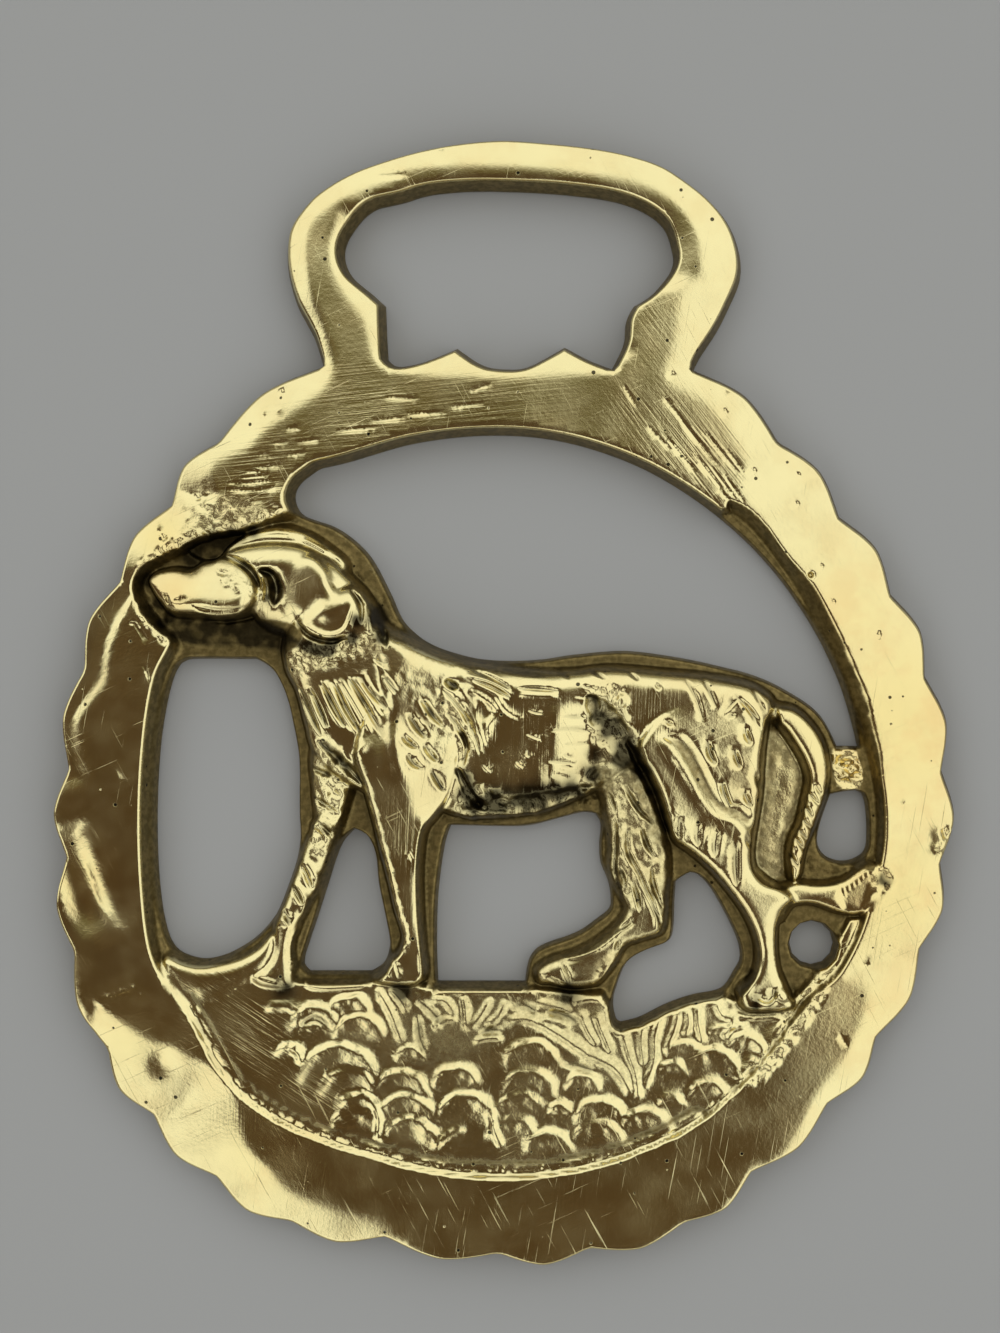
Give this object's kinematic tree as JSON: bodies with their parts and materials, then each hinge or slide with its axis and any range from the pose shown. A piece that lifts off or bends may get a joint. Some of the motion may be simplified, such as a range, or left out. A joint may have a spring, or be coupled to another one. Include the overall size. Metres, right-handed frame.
{
  "type": "horse brass",
  "caption": "Cast brass harness ornament: scalloped open ring with a strap hanger, framing a standing dog in relief on tufted ground.",
  "frame": {"origin": "middle of the casting's width and length, on its flat back", "axes": "+Z out of the relief face, +Y toward the strap hanger, +X toward the dog's tail"},
  "size_m": [0.0703, 0.0876, 0.0048],
  "materials": {
    "brass": "polished cast brass, brown in the recesses, with file and buffing marks"
  },
  "bodies": {
    "root": {"horse_brass": "brass"}
  },
  "joints": []
}
